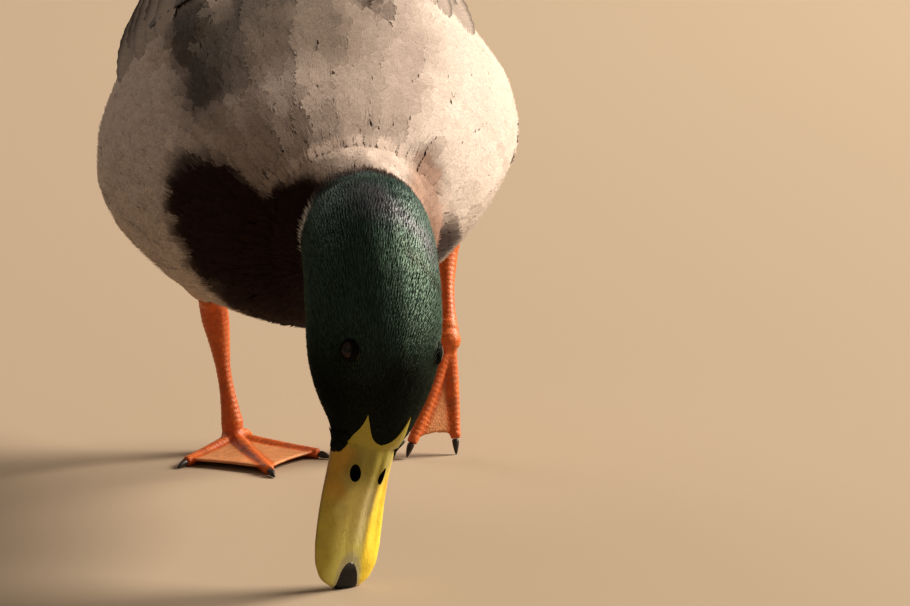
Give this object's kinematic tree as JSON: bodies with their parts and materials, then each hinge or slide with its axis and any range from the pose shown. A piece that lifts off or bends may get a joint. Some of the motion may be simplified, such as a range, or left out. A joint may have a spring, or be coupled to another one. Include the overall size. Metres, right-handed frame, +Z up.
{
  "type": "mallard duck",
  "caption": "Life-size mallard drake on the move with its head down and the tip of its bill on the ground, one webbed foot flat and the other on its toes.",
  "frame": {"origin": "middle of the whole bird's bounding box, at floor level", "axes": "+Z up, the bird faces -Y, its left side is +X"},
  "size_m": [0.1626, 0.42, 0.2396],
  "materials": {
    "bottle_green_feather": "glossy green feathers with a blue sheen",
    "white_feather": "soft white feathers",
    "chestnut_feather": "soft dark brown feathers",
    "grey_feather": "soft pale grey feathers with fine wavy bars",
    "brown_feather": "smooth grey-brown vanes",
    "black_feather": "smooth black feathers with a faint green gloss",
    "wet_dark_brown": "wet and shiny",
    "olive_yellow_horn": "satin horn",
    "black_horn": "satin horn",
    "orange_skin": "scaly skin"
  },
  "bodies": {
    "root": {"back_and_belly": "grey_feather", "bill_lower": "olive_yellow_horn", "bill_nail": "black_horn", "bill_upper": "olive_yellow_horn", "breast": "chestnut_feather", "claw_left_hind": "black_horn", "claw_left_inner": "black_horn", "claw_left_middle": "black_horn", "claw_left_outer": "black_horn", "claw_right_hind": "black_horn", "claw_right_inner": "black_horn", "claw_right_middle": "black_horn", "claw_right_outer": "black_horn", "collar": "white_feather", "eye_left": "wet_dark_brown", "eye_right": "wet_dark_brown", "foot_left": "orange_skin", "foot_right": "orange_skin", "head": "bottle_green_feather", "neck_upper": "bottle_green_feather", "primaries_left": "brown_feather", "primaries_right": "brown_feather", "rump": "black_feather", "shank_left": "orange_skin", "shank_right": "orange_skin", "tail": "white_feather", "tail_curl_left": "black_feather", "tail_curl_right": "black_feather", "tertials_left": "brown_feather", "tertials_right": "brown_feather", "thigh_left": "grey_feather", "thigh_right": "grey_feather", "wing_left": "grey_feather", "wing_right": "grey_feather"}
  },
  "joints": []
}
